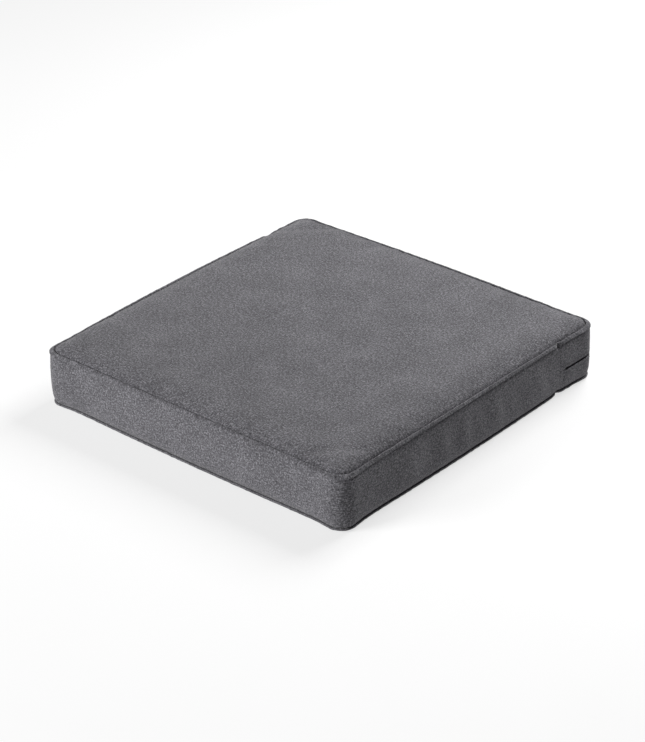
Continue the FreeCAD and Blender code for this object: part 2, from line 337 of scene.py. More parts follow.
# Dark lacquered die casting: a few spots rubbed bright, fine scratches
def metalMaterial(c):
    p = Paint("lacqueredMetal", c["lacquer"])
    laid = p.ownPlace()
    worn = p.node("Clamp", None, {"Value": (p.clouds(laid, 450.0, 3.0) - c["wearFrom"]) * 5})
    scratches = p.clouds(p.node("Mapping", None, {"Vector": laid, "Scale": (1, 1, 14)}), 500.0, 2.0)
    colour = p.mix(worn, c["lacquer"], c["bare"])
    normal = p.bump(scratches, 0.02 * mm, 0.4)
    return p.finish(colour, 0.26 + scratches * 0.22, {"Metallic": worn * 0.6 + 0.4, "Normal": normal})


foamFinish = {
    "cell": 1.3 * mm,
    "colour": (0.74, 0.70, 0.56),
    # the colour painted into the pits: painted shade
    "pit": (0.46, 0.42, 0.31),
    "aged": (0.72, 0.60, 0.36),
}


# Open-cell foam: small pits with thin walls between them
def foamMaterial(c):
    p = Paint("openCellFoam", c["colour"])
    laid = p.ownPlace()
    cells = p.node("TexVoronoi", None, {"Vector": laid, "Scale": 1 / c["cell"]}, out="Distance")
    aged = p.clouds(laid, 9.0, 3.0)
    # the pits are painted in the darker pit colour: painted shade; the aged yellowing is the foam's own
    # colour
    colour = p.mix(cells * 1.2, c["pit"], c["colour"])
    colour = p.mix(aged * 0.25, colour, c["aged"])
    return p.finish(colour, 0.85 + cells * 0.1, {"Normal": p.bump(cells, 0.6 * mm, 0.8)})


waddingFinish = {"fibre": 3.5 * mm, "bright": (0.86, 0.86, 0.85), "shade": (0.62, 0.62, 0.62)}


# Polyester wadding: matted fibres, soft and bright
def waddingMaterial(c):
    p = Paint("polyesterWadding", c["bright"])
    laid = p.ownPlace()
    drift = p.clouds(laid, 1 / (6 * c["fibre"]), 2.0)
    mat = p.clouds(laid, 1 / c["fibre"], 8.0, 0.75, {"noise_type": "RIDGED_MULTIFRACTAL"})
    # darker between the raised fibres: painted shade; the slow drift is the wadding's own tone
    colour = p.mix(mat * 0.6 + drift * 0.5, c["shade"], c["bright"])
    return p.finish(colour, 0.95 - mat * 0.05, {"Normal": p.bump(mat, 1.0 * mm, 0.6), "Sheen Weight": 0.3})


cordFinish = {"bright": (0.78, 0.77, 0.73), "shade": (0.50, 0.49, 0.46), "plait": 2.4 * mm}


# Braided filler cord: two sets of strands that cross
def cordMaterial(c):
    p = Paint("braidedCord", c["bright"])
    _, across, along = p.clothPlace()
    turns = 2 * math.pi / c["plait"]
    one = ((across + along) * turns).maths("SINE")
    other = ((across - along) * turns).maths("SINE")
    braid = one.maths("MAXIMUM", other)
    # darker in the hollows between the strands: painted shade
    colour = p.mix(braid * 0.5 + 0.5, c["shade"], c["bright"])
    return p.finish(colour, 0.75 - braid * 0.1, {"Normal": p.bump(braid, 0.2 * mm, 0.8)})


floorFinish = {"colour": (0.28, 0.28, 0.28), "drift": (0.26, 0.26, 0.26), "glow": 0.66}


# White acrylic lit from below, so that shadows stay faint
def floorMaterial(c):
    p = Paint("studioFloor", c["colour"])
    laid = p.ownPlace()
    drift = p.clouds(laid, 3.0, 3.0)
    colour = p.mix(drift * 0.5, c["colour"], c["drift"])
    glow = {"Emission Color": (1, 1, 1, 1), "Emission Strength": c["glow"]}
    return p.finish(colour, 0.75 + drift * 0.1, glow)


paints = {
    "cover": weaveMaterial(coverCloth),
    "thread": threadMaterial(threadFinish),
    "tape": tapeMaterial(tapeFinish),
    "coil": coilMaterial(coilFinish),
    "metal": metalMaterial(metalFinish),
    "foam": foamMaterial(foamFinish),
    "wadding": waddingMaterial(waddingFinish),
    "cord": cordMaterial(cordFinish),
    "floor": floorMaterial(floorFinish),
}
print("materials made")


# The way round the cushion

# A rounded square, walked anticlockwise from the middle of the right side
class Outline:
    def __init__(self, halfSide, radius):
        self.half = halfSide
        self.radius = radius
        self.straight = halfSide - radius  # middle of a side to the start of its corner
        self.arc = math.pi / 2 * radius
        self.side = 2 * self.straight + self.arc
        self.length = 4 * self.side

    # the point and the outward direction at a distance s
    def at(self, s):
        quarter, along = divmod(s % self.length, self.side)
        if along <= self.straight:
            point, angle = Vector((self.half, along)), 0.0
        elif along < self.straight + self.arc:
            angle = (along - self.straight) / self.radius
            turned = Vector((math.cos(angle), math.sin(angle)))
            point = Vector((self.straight, self.straight)) + self.radius * turned
        else:
            point, angle = Vector((self.side - along, self.half)), math.pi / 2
        turn = Matrix.Rotation(quarter * math.pi / 2, 2)
        angle += quarter * math.pi / 2
        return turn @ point, Vector((math.cos(angle), math.sin(angle)))

    # the outline's nearest point to (x, y), the direction outward there, and how far out (x, y) is
    def nearest(self, x, y):
        turn = Matrix.Rotation(round(math.atan2(y, x) / (math.pi / 2)) * math.pi / 2, 2)
        p = turn.transposed() @ Vector((x, y))
        if abs(p.y) > self.straight and p.x > self.straight:
            centre = Vector((self.straight, math.copysign(self.straight, p.y)))
            outward = (p - centre).normalized()
            q = centre + outward * self.radius
        else:
            outward = Vector((1, 0))
            q = Vector((self.half, p.y))
        return turn @ q, turn @ outward, (p - q).dot(outward)


way = Outline(half, cut["cornerRadius"])
rightSeam = seamY
leftSeam = 2 * way.side - seamY
rightSlot = slotY
leftSlot = 2 * way.side - slotY
zipCloth = (rightSeam + cut["uprightGap"] / 2, leftSeam - cut["uprightGap"] / 2)  # from seam to seam


def stationsBetween(start, end, step, rolled=False):
    # (s, point, outward, inset) along the way; rolled turns the cloth's ends into their upright seams
    count = max(1, round((end - start) / step))
    places = [start + (end - start) * i / count for i in range(count + 1)]
    turn = cut["uprightTurn"]
    if rolled:
        near = [turn * share for share in (0, 0.12, 0.3, 0.55, 1)]
        places = [s for s in places if start + 1.5 * turn < s < end - 1.5 * turn]
        places = [start + d for d in near] + places + [end - d for d in reversed(near)]
    made = []
    for s in places:
        short = max(0.0, turn - min(s - start, end - s)) if rolled else 0.0
        made.append((s, *way.at(s), turn - math.sqrt(turn ** 2 - short ** 2)))
    return made


def bend(centre, radius, start, end, count):
    # (n, z) points on an arc
    turns = [start + (end - start) * i / count for i in range(count + 1)]
    return [(centre[0] + radius * math.cos(t), centre[1] + radius * math.sin(t)) for t in turns]


def onEdge(radius, angle):
    # (n, z) round the bottom edge's centre
    return (-edge + radius * math.cos(angle), edge + radius * math.sin(angle))


def atSeam(out, across):
    # (n, z) beside the bottom seam: outward from the edge's centre, and across the seam, up positive
    n, z = onEdge(out, -seamAngle)
    return (n + math.sin(seamAngle) * across, z + math.cos(seamAngle) * across)


def flange(start, end, across):
    # points from one distance out to another, beside the bottom seam
    return [atSeam(start + (end - start) * i / 3, across) for i in range(4)]


def upsideDown(path):
    return [(n, height - z) for n, z in path]


def upright(n, low, high, step):
    # points up a wall at depth n
    count = max(1, round(abs((high - low) / step)))
    return [(n, low + (high - low) * i / count) for i in range(count + 1)]


def intoSeam(side):
    # the middle of the cloth from the flat bottom (side -1) or the wall (side 1) into the seam
    middle, turn = edge - cloth / 2, cut["seamTurn"]
    lean = math.asin((1.5 * cloth + turn) / (middle - turn))
    start = 0.0 if side > 0 else -math.pi / 2
    end = side * lean - seamAngle
    path = bend((-edge, edge), middle, start, end, 8)
    path += bend(onEdge(middle - turn, end), turn, end, -seamAngle - side * math.pi / 2, 6)[1:]
    return path + flange((middle - turn) * math.cos(lean), allowanceEnd, side * 1.5 * cloth)[1:]


def bothSides(path, thickness):
    # the two faces of a sheet whose middle follows the path
    left, right = [], []
    for i, (n, z) in enumerate(path):
        ahead, behind = path[min(i + 1, len(path) - 1)], path[max(i - 1, 0)]
        along = Vector((ahead[0] - behind[0], ahead[1] - behind[1])).normalized() * thickness / 2
        left.append((n - along.y, z + along.x))
        right.append((n + along.y, z - along.x))
    return left, right


# Meshes

sharpAngle = math.radians(55)  # edges bent further than this stay sharp


# Gathers points, faces and each face corner's place on the cloth it is cut from
class Net:
    def __init__(self):
        self.points = []
        self.faces = []
        self.laid = []

    def add(self, points):
        first = len(self.points)
        self.points.extend(tuple(p) for p in points)
        return list(range(first, len(self.points)))

    def face(self, corners, laid):
        self.faces.append(corners)
        self.laid.extend(laid)

    def flatFace(self, corners):
        self.face(corners, [self.points[c][:2] for c in corners])


def lengthsOf(profile):
    total, made = 0.0, [0.0]
    for a, b in zip(profile, profile[1:]):
        total += math.dist(a, b)
        made.append(total)
    return made


def sweep(net, stations, pathAt, thickness, bias=False):
    # runs a sheet, given by the path of its middle at each s, along the stations
    rows, marks = [], []
    for s, point, out, inset in stations:
        left, right = bothSides(pathAt(s), thickness)
        rows.append(net.add((*(point + out * (n - inset)), z) for n, z in left + right[::-1]))
        spread = lengthsOf(left)
        marks.append([(s, t) for t in spread + spread[::-1]])
    size = len(rows[0])
    for a, b, ma, mb in zip(rows, rows[1:], marks, marks[1:]):
        for i in range(size):
            k = (i + 1) % size
            laid = [ma[i], mb[i], mb[k], ma[k]]
            if bias:
                laid = [((s + t) * 0.7071, (s - t) * 0.7071) for s, t in laid]
            net.face([a[i], b[i], b[k], a[k]], laid)
    for row, mark in ((rows[0], marks[0]), (rows[-1], marks[-1])):
        for i in range(size // 2 - 1):
            corners = (i, i + 1, size - 2 - i, size - 1 - i)
            net.face([row[c] for c in corners], [mark[c] for c in corners])


def disc(net, outline, rings, border, z):
    # a rounded square sheet made of rings of squares; the last has 8 * rings points, at n = border
    made = [net.add([(0, 0, z)])]
    for k in range(1, rings + 1):
        ring = []
        for j in range(8 * k):
            point, out = outline.at(j / (8 * k) * outline.length)
            ring.append((*((point + out * border) * k / rings), z))
        made.append(net.add(ring))
    for k in range(1, rings + 1):
        big, small = made[k], made[k - 1]
        for q in range(4):
            start, inner = (2 * q - 1) * k, (2 * q - 1) * (k - 1)
            for t in range(2 * k - 2):
                outside = [big[(start + t + i) % len(big)] for i in (1, 2)]
                net.flatFace(outside + [small[(inner + t + i) % len(small)] for i in (1, 0)])
            corner = [big[(start + 2 * k + i) % len(big)] for i in (-1, 0, 1)]
            net.flatFace(corner + [small[(inner + 2 * k - 2) % len(small)]])
    return made[-1]


def ringsDown(net, outline, border, path):
    # rows from a disc's border along a path, returning the last row
    count = len(border)
    places = [outline.at(j / count * outline.length) for j in range(count)]
    last, run = border, path[0][0]
    laidLast = [tuple(point + out * run) for point, out in places]
    for before, (n, z) in zip(path, path[1:]):
        run += math.dist(before, (n, z))
        row = net.add((*(point + out * n), z) for point, out in places)
        laid = [tuple(point + out * run) for point, out in places]
        for j in range(count):
            k = (j + 1) % count
            net.face([last[j], last[k], row[k], row[j]], [laidLast[j], laidLast[k], laid[k], laid[j]])
        last, laidLast = row, laid
    return last


def joinRings(net, a, b):
    for j in range(len(a)):
        k = (j + 1) % len(a)
        net.flatFace([a[j], a[k], b[k], b[j]])


def pan(net, outline, rings, path, thickness):
    # a flat sheet whose rim turns along a path
    ends = [ringsDown(net, outline, disc(net, outline, rings, *side[0]), side)
            for side in bothSides(path, thickness)]
    joinRings(net, *ends)


def lump(net, outline, rings, path):
    # a solid from one flat face, down a path, to the other flat face
    last = ringsDown(net, outline, disc(net, outline, rings, *path[0]), path[:-1])
    joinRings(net, last, disc(net, outline, rings, *path[-1]))


def tube(net, path, radii, sides):
    # a round thread along a path of points, its ends closed
    rows, marks = [], []
    normal = None
    total = 0.0
    for i, p in enumerate(path):
        along = (path[min(i + 1, len(path) - 1)] - path[max(i - 1, 0)]).normalized()
        if normal is None:
            normal = along.orthogonal().normalized()
        normal = (normal - along * normal.dot(along)).normalized()
        side = along.cross(normal)
        turns = [2 * math.pi * k / sides for k in range(sides)]
        rows.append(net.add(p + (normal * math.cos(t) + side * math.sin(t)) * radii[i] for t in turns))
        if i:
            total += (p - path[i - 1]).length
        marks.append([(total, t * radii[i]) for t in turns + [2 * math.pi]])
    for a, b, ma, mb in zip(rows, rows[1:], marks, marks[1:]):
        for k in range(sides):
            m = (k + 1) % sides
            net.face([a[k], a[m], b[m], b[k]], [ma[k], ma[k + 1], mb[k + 1], mb[k]])
    net.face(rows[0][::-1], marks[0][:sides])
    net.face(rows[-1], marks[-1][:sides])


def meshOf(name, net, points):
    mesh = bpy.data.meshes.new(name)
    mesh.from_pydata([tuple(p) for p in points], [], net.faces)
    layer = mesh.uv_layers.new(name="weave")
    layer.uv.foreach_set("vector", np.array(net.laid, np.float32).ravel())
    solid = bmesh.new()
    solid.from_mesh(mesh)
    bmesh.ops.recalc_face_normals(solid, faces=solid.faces)
    solid.to_mesh(mesh)
    solid.free()
    mesh.shade_smooth()
    mesh.set_sharp_from_angle(angle=sharpAngle)
    return mesh


def addObject(name, data):
    made = bpy.data.objects.new(name, data)
    bpy.context.scene.collection.objects.link(made)
    return made


def addPiece(name, net, paint, slot, *replaced):
    # makes the piece, carried along by the stuffed cover's shape, and rides it on the cushion
    points = skin.carry(np.array(net.points, float))
    piece = addObject(name, meshOf(name, net, points))
    piece.data.materials.append(paints[paint])
    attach(piece, "cushion")
    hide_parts(*replaced)
    print("made", name)
    return piece


# The stuffed shape

stuffing = {
    "rings": 36,  # squares of the simulated cloth from middle to border
    "wallRows": 12,
    "frames": 24,
    "pressure": 3.0,
    "slack": 0.010,  # share by which the cloth is larger than its seams
    "mass": 0.25,
    "stretch": 18,  # stiffness against stretching, shearing and bending
    "shear": 6,
    "bending": 1.2,
    "damping": 12,
    "airDamping": 4,
    "topRise": 5.5 * mm,
    "shoulder": 4.4 * mm,  # the foam lifts the panel beside its seam
    "shoulderRun": 5.5 * mm,
    "wallBulge": 5.5 * mm,
    "cornerBulge": 9.5 * mm,
    "cornerReach": 42 * mm,
    "wallFullness": 0.42,  # lower swells the boxing more beside its seams
    "cornerFullness": 0.45,  # share taken off it at the corners
    "zipHold": (12 * mm, 30 * mm),  # heights over which the straight run of the zip keeps the cloth flat
    "zipTurn": (283 * mm, 297 * mm),  # and where it lets go, towards the corners
    "topSeamPull": (-0.4 * mm, -0.8 * mm, 1.6 * mm),  # outward, up, and further outward at the corners
    "bottomSeamPull": (-3.6 * mm, 0.3 * mm, 3.0 * mm),
    # how far the middle of a side bows: its top seam out, its bottom seam out, its top seam up
    "bows": {
        (-1, 0): (5.5 * mm, 3.0 * mm, 2.2 * mm),
        (0, -1): (0.0, 4.0 * mm, 0.0),
        (1, 0): (0.0, 4.0 * mm, 0.0),
        (0, 1): (4.5 * mm, 0.0, 0.8 * mm),
    },
    # where the filling is fuller under the top, or less full: x, y, how far it reaches, how high
    "fullPlaces": (
        (-0.29, -0.05, 0.13, -2.4 * mm),
        (0.17, 0.29, 0.10, -2.2 * mm),
        (-0.29, 0.29, 0.08, -1.2 * mm),
    ),
    "fullStart": 4 * mm,  # over which it sets in, inward from the seam
    "overhang": 1.5 * mm,  # the panel leans out over its seam
    "overhangReach": 3 * mm,
    "seamReach": 9 * mm,
    "dipDepth": 2.2 * mm,  # where an upright seam meets the piping
    "dipWidth": 9 * mm,
    "puckerDepth": 0.7 * mm,
    "puckerLength": 7 * mm,
    "puckerReach": 13 * mm,
    "foldDepth": 5.6 * mm,  # upright folds in the right side's boxing
    "foldStart": (-240 * mm, -120 * mm),
    "foldEnd": (170 * mm, 225 * mm),
    "calmFoldDepth": 1.1 * mm,
    "foldLength": 29 * mm,
    "foldSlant": 0.35,
    "driftDepth": 1.2 * mm,  # slow waves over the top
    "driftLength": 110 * mm,
    "driftStart": 45 * mm,  # full from here inward
    "creaseDepth": 1.4 * mm,  # from the slot's end down to the seam
    "creaseWidth": 5 * mm,
    "creaseStart": (-2 * mm, 3 * mm),  # below the zip's middle
    "creaseEnd": (28 * mm, 36 * mm),
}
seamN, seamLow = onEdge(edge, -seamAngle)
seamHigh = height - seamLow


def ease(x, start, end):
    # 0 at start, 1 at end, smooth between
    share = min(1.0, max(0.0, (x - start) / (end - start)))
    return share * share * (3 - 2 * share)


def bell(x, width):
    # 1 at 0, next to nothing from twice the width on
    return math.exp(-(x / width) ** 2)


def waves(p, size, seed=0.0):
    return noise.noise(Vector((p[0] / size, p[1] / size, seed)))


# The cover as one sheet of squares, before and after it is stuffed. Everything sewn to it is carried along
class Skin:
    def __init__(self, c):
        self.settings = c
        self.net = Net()
        self.build()
        rest, moved = self.stuff()
        self.refine(rest, moved)

    def build(self):
        c = self.settings
        turns = (-math.pi / 2, -1.15, -0.83, -seamAngle, -0.3, 0.0)
        low = [onEdge(edge, t) for t in turns]
        high = upsideDown(low)[::-1]
        wall = upright(0.0, low[-1][1], high[0][1], (height - 2 * edge) / c["wallRows"])
        lump(self.net, way, c["rings"], low + wall[1:-1] + high)

    # from 0 to 1, how firmly the zip's straight run holds a point of the wall
    def zipHolds(self, p):
        if p[1] < half - cut["cornerRadius"]:
            return 0.0
        near, far = self.settings["zipHold"]
        return (1 - ease(abs(p[2] - zipZ), near, far)) * (1 - ease(abs(p[0]), *self.settings["zipTurn"]))

    # seams, the zip and what lies on the floor don't move
    def held(self, p):
        _, _, out = way.nearest(p[0], p[1])
        onSeam = any(math.dist((out, p[2]), (seamN, z)) < 0.1 * mm for z in (seamLow, seamHigh))
        return onSeam or p[2] < 0.1 * mm or self.zipHolds(p) > 0.9

    def stuff(self):
        c = self.settings
        mesh = meshOf("skin", self.net, self.net.points)
        rest = self.pointsOf(mesh)
        body = addObject("skin", mesh)
        group = body.vertex_groups.new(name="held")
        group.add([i for i, p in enumerate(rest) if self.held(p)], 1.0, "REPLACE")
        sim = body.modifiers.new("stuffing", "CLOTH")
        s = sim.settings
        s.quality = 6
        s.mass = c["mass"]
        s.tension_stiffness = s.compression_stiffness = c["stretch"]
        s.shear_stiffness = c["shear"]
        s.bending_stiffness = c["bending"]
        s.tension_damping = s.compression_damping = s.shear_damping = c["damping"]
        s.air_damping = c["airDamping"]
        s.use_pressure = True
        s.uniform_pressure_force = c["pressure"]
        s.shrink_min = s.shrink_max = -c["slack"]
        s.vertex_group_mass = "held"
        s.effector_weights.gravity = 0
        sim.point_cache.frame_start = 1
        sim.point_cache.frame_end = c["frames"]
        for f in range(1, c["frames"] + 1):
            bpy.context.scene.frame_set(f)
        moved = self.pointsOf(body.evaluated_get(bpy.context.evaluated_depsgraph_get()).data)
        bpy.data.objects.remove(body)
        bpy.context.scene.frame_set(1)
        print("stuffed: raw rise", round(float((moved - rest)[:, 2].max()) / mm, 1), "mm")
        return rest, moved

    def pointsOf(self, mesh):
        points = np.zeros(len(mesh.vertices) * 3)
        mesh.vertices.foreach_get("co", points)
        return points.reshape(-1, 3)

    # limits how far the cloth went, makes the squares finer, and adds what foam and sewing do to it
    def refine(self, rest, moved):
        c = self.settings
        swell = moved - rest
        far = np.maximum(np.linalg.norm(swell, axis=1), 1e-9)
        limit = np.where(rest[:, 2] > height - edge / 2, c["topRise"], c["wallBulge"])
        swell *= (limit * np.tanh(far / limit) / far)[:, None]
        self.rest = self.finer(rest)
        swollen = self.finer(rest + swell)
        self.moved = np.array([p + self.settled(p, m - p) for p, m in zip(self.rest, swollen)])
        normals = self.normals(self.moved)
        self.moved += normals * np.array([self.wrinkle(p) for p in self.rest])[:, None]
        self.tree = BVHTree.FromPolygons([tuple(p) for p in self.rest], self.triangles)

    # how far a point moves, from what the filling's pressure did and what the foam's firm edges do
    def settled(self, p, swell):
        c = self.settings
        q, outward, out = way.nearest(p[0], p[1])
        outward = Vector((*outward, 0))
        corner = bell(max(half - abs(q.x), half - abs(q.y)), c["cornerReach"])
        shift = Vector((0, 0, 0))
        if p[2] > seamHigh:
            shift.z = swell[2] + c["shoulder"] * (1 - math.exp(min(0.0, out - seamN) / c["shoulderRun"]))
        elif p[2] > seamLow:
            t = (p[2] - seamLow) / (seamHigh - seamLow)
            bulge = c["wallBulge"] + (c["cornerBulge"] - c["wallBulge"]) * corner
            push = bulge * (4 * t * (1 - t)) ** (c["wallFullness"] * (1 - c["cornerFullness"] * corner))
            spare = max(0.0, Vector(swell).dot(outward) - push)
            shift = outward * (push + 0.5 * spare) * (1 - self.zipHolds(p))
        side = (round(outward.x), round(outward.y)) if abs(outward.x * outward.y) < 0.01 else None
        topOut, bottomOut, topUp = c["bows"].get(side, (0.0, 0.0, 0.0))
        bow = 1 - (min(abs(q.x), abs(q.y)) / way.straight) ** 2
        bow *= bell(min(0.0, out - seamN), 3 * c["seamReach"]) * (1 - self.zipHolds(p))
        up = min(1.0, max(0.0, (p[2] - seamLow) / (seamHigh - seamLow)))
        shift += (outward * (bottomOut * (1 - up) + topOut * up) + Vector((0, 0, topUp * up))) * bow
        if p[2] > seamHigh:
            inside = max(0.0, seamN - out)
            away = inside / c["overhangReach"]
            shift += outward * c["overhang"] * away * math.exp(1 - away)
            for x, y, size, lift in c["fullPlaces"]:
                near = math.exp(-((p[0] - x) ** 2 + (p[1] - y) ** 2) / size ** 2)
                shift.z += lift * near * (1 - math.exp(-inside / c["fullStart"]))
        for z, (pullOut, pullUp, push) in ((seamHigh, c["topSeamPull"]), (seamLow, c["bottomSeamPull"])):
            near = bell(math.dist((out, p[2]), (seamN, z)), c["seamReach"])
            shift += (outward * (pullOut + push * corner) + Vector((0, 0, pullUp))) * near
            # the bulk of an upright seam draws the piping in
            if abs(q.x) > half - mm:
                near *= bell(q.y - rightSeam, c["dipWidth"])
                shift += (Vector((0, 0, height / 2 - z)).normalized() - outward * 0.7) * c["dipDepth"] * near
        if p[2] < seamLow:
            shift.z = max(0.0, shift.z) * ease(-out, 3 * edge, edge)
        return np.array(shift)

    # the small unevenness of the sewn cloth, outward from it
    def wrinkle(self, p):
        c = self.settings
        q, _, out = way.nearest(p[0], p[1])
        fromSeam = min(math.dist((out, p[2]), (seamN, z)) for z in (seamLow, seamHigh))
        pucker = c["puckerDepth"] * bell(fromSeam, c["puckerReach"])
        lift = pucker * waves(q, c["puckerLength"], p[2] / height)
        if p[2] > seamHigh:
            inward = ease(-out, 0, c["driftStart"])
            lift += c["driftDepth"] * inward * waves(p, c["driftLength"])
            return lift + 0.35 * c["driftDepth"] * inward * waves(p, c["driftLength"] / 3, 5.0)
        if p[2] < seamLow:
            return 0.0
        middle = math.sin(math.pi * p[2] / height) ** 2
        depth = c["calmFoldDepth"]
        if q.x > half - mm:
            depth += (c["foldDepth"] - depth) * ease(q.y, *c["foldStart"]) * (1 - ease(q.y, *c["foldEnd"]))
        slant = (q.x, q.y + c["foldSlant"] * p[2])
        lift += depth * middle * waves(slant, c["foldLength"], p[2] / (5 * c["foldLength"]))
        if q.x > half - mm:
            # across the line from the slot's end to the foot of the upright seam
            below = zipZ - p[2]
            down = ease(below, *c["creaseStart"]) * (1 - ease(below, *c["creaseEnd"]))
            line = slotY + (rightSeam - slotY) * below / (zipZ - seamLow)
            lift -= c["creaseDepth"] * down * bell(p[1] - line, c["creaseWidth"])
        return lift * (1 - self.zipHolds(p))

    def finer(self, points):
        mesh = meshOf("fine", self.net, points)
        body = addObject("fine", mesh)
        body.modifiers.new("fine", "SUBSURF").levels = 1
        result = body.evaluated_get(bpy.context.evaluated_depsgraph_get()).data
        made = self.pointsOf(result)
        self.triangles = []
        for face in result.polygons:
            a, b, d, e = face.vertices
            self.triangles += [(a, b, d), (a, d, e)]
        bpy.data.objects.remove(body)
        return made

    def normals(self, points):
        corners = np.array(self.triangles)
        a, b, d = (points[corners[:, k]] for k in range(3))
        across = np.cross(b - a, d - a)
        made = np.zeros_like(points)
        for k in range(3):
            np.add.at(made, corners[:, k], across)
        return made / np.maximum(np.linalg.norm(made, axis=1), 1e-12)[:, None]

    # moves points, given as the cover lay before it was stuffed, by what its nearest place did
    def carry(self, points):
        hits = [self.tree.find_nearest(tuple(p)) for p in points]
        found = np.array([h[0] for h in hits])
        corners = np.array([self.triangles[h[2]] for h in hits])
        a, b, d = (self.rest[corners[:, k]] for k in range(3))
        whole = np.linalg.norm(np.cross(b - a, d - a), axis=1)
        wa = np.linalg.norm(np.cross(b - found, d - found), axis=1) / whole
        wb = np.linalg.norm(np.cross(a - found, d - found), axis=1) / whole
        wd = 1 - wa - wb
        shift = self.moved - self.rest
        moved = shift[corners[:, 0]] * wa[:, None] + shift[corners[:, 1]] * wb[:, None]
        moved += shift[corners[:, 2]] * wd[:, None]
        return points + moved


skin = Skin(stuffing)
print("cover stuffed")


# Cover cloth

coverMake = {
    "rings": 72,  # squares of a panel from its middle to its border
    "step": 3.0 * mm,
    "flapStep": 2.4 * mm,
    "wallStep": 2.6 * mm,
    "fill": 0.85,
}


def addCloth(name, net, place):
    addPiece(name, net, "cover", "cover_fabric", place)


def makePanel(name, place, path):
    net = Net()
    pan(net, way, coverMake["rings"], path, cloth)
    addCloth(name, net, place)


makePanel("top_cloth", "top_panel", upsideDown(intoSeam(-1)))
makePanel("bottom_cloth", "bottom_panel", intoSeam(-1))


def makeBoxing():
    net = Net()
    foot = intoSeam(1)
    wall = upright(-cloth / 2, edge, height - edge, coverMake["wallStep"])
    path = foot[::-1] + wall[1:-1] + upsideDown(foot)
    start, end = leftSeam + cut["uprightGap"] / 2, way.length + rightSeam - cut["uprightGap"] / 2
    sweep(net, stationsBetween(start, end, coverMake["step"], True), lambda s: path, cloth)
    # its two ends, turned back inside
    turnedBack = upright(-1.6 * cloth, edge + cloth, height - edge - cloth, 2 * coverMake["wallStep"])
    for a, b in ((start + mm, start + cut["uprightAllowance"]), (end - cut["uprightAllowance"], end - mm)):
        sweep(net, stationsBetween(a, b, coverMake["step"]), lambda s: turnedBack, cloth)
    addCloth("boxing_cloth", net, "boxing_strip")


makeBoxing()


zipPlace = {
    "slotGap": 3.5 * mm,
    "closedGap": 0.3 * mm,
    "endOpening": 1.5 * mm,  # the bar tacks' pull leaves the slot wider at its ends
    "endOpeningRun": 4 * mm,
    "closingRun": 2.4 * mm,  # over which the lips come together at the ends of the slot
    "lipWander": 0.18 * mm,
    "tapeEdge": 12.85 * mm,  # heights above and below the zip's middle
    "fineEdge": 10.4 * mm,  # from here to the lip the cloth's points lie close
    "stitchHeight": 7.85 * mm,
    "stitchDent": 0.22 * mm,
    "stitchDentWidth": 1.4 * mm,
}


def lipAt(s, side):
    # how far from the zip's middle line the lip stands: past the slot's ends it meets the other one
    z = zipPlace
    share = ease(max(rightSlot - s, s - leftSlot) / z["closingRun"], -0.5, 0.5)
    wander = z["lipWander"] * noise.noise(Vector((s / (22 * mm), 4.0 * side, 0))) * (1 - share)
    fromEnd = min(s - rightSlot, leftSlot - s) / z["endOpeningRun"] - 1
    slotGap = z["slotGap"] + z["endOpening"] * math.exp(-fromEnd ** 2)
    return (slotGap * (1 - share) + z["closedGap"] * share) / 2 + wander


def flapPath(middle, gap):
    # the middle of a lower flap's cloth, up to the lip and folded down behind itself
    z = zipPlace
    fold = 0.51 * cloth
    lip = middle - gap - fold - cloth / 2
    back = -cloth / 2 - 2 * fold
    fine = middle - z["fineEdge"]
    wall = upright(-cloth / 2, edge, fine - 0.6 * mm, coverMake["wallStep"])
    wall += upright(-cloth / 2, fine, lip, (lip - fine) / 12)
    dented = []
    for n, h in wall:
        dent = z["stitchDent"] * bell(middle - h - z["stitchHeight"], z["stitchDentWidth"])
        dented.append((n - dent, h))
    over = bend((-cloth / 2 - fold, lip), fold, 0, math.pi, 8)
    behind = middle - z["tapeEdge"]
    return intoSeam(1)[::-1] + dented[1:] + over[1:] + upright(back, lip, behind, (lip - behind) / 6)[1:]


def makeFlap(level, side):
    net = Net()

    def path(s):
        gap = lipAt(s, side)
        return flapPath(zipZ, gap) if side < 0 else upsideDown(flapPath(height - zipZ, gap))

    sweep(net, stationsBetween(*zipCloth, coverMake["flapStep"], True), path, cloth)
    addCloth(level + "_flap_cloth", net, "zip_flap_" + level)


makeFlap("upper", 1)
makeFlap("lower", -1)
print("cover made")


# Piping

piping = {
    "step": 2.4 * mm,
    "sides": 18,
    "unevenness": 0.05,  # share of its radius
    "strands": 3,
    "strandStep": 1.8 * mm,
    "strandRadius": 0.76 * mm,
    "strandLay": 14 * mm,
    "jointGap": 1.6 * mm,
    "jointDive": 3.0 * mm,  # its two ends turn in to the seam
    "jointRun": 7 * mm,
}


def pipingPath(s, seed):
    # the middle of the bias strip: in the seam, round the filler and back
    swell = 1 + piping["unevenness"] * noise.noise(Vector((s / (9 * mm), seed, 0)))
    radius = (cut["pipingRadius"] - cloth / 2) * swell
    lean = math.asin(0.5 * cloth / radius)
    reach = pipingOut - radius * math.cos(lean)
    facing = math.pi - seamAngle
    start, end = facing - lean, facing + lean - 2 * math.pi
    over = bend(onEdge(pipingOut, -seamAngle), radius, start, end, piping["sides"])
    out, back = (flange(allowanceEnd, reach, side * cloth / 2)[:3] for side in (1, -1))
    return out + over + back[::-1]


def pipingStations(step):
    start, end = rightSeam + piping["jointGap"] / 2, way.length + rightSeam - piping["jointGap"] / 2
    made = []
    for s, point, out, _ in stationsBetween(start, end, step):
        toJoint = max(0.0, 1 - min(s - start, end - s) / piping["jointRun"])
        made.append((s, point, out, piping["jointDive"] * toJoint ** 2))
    return made


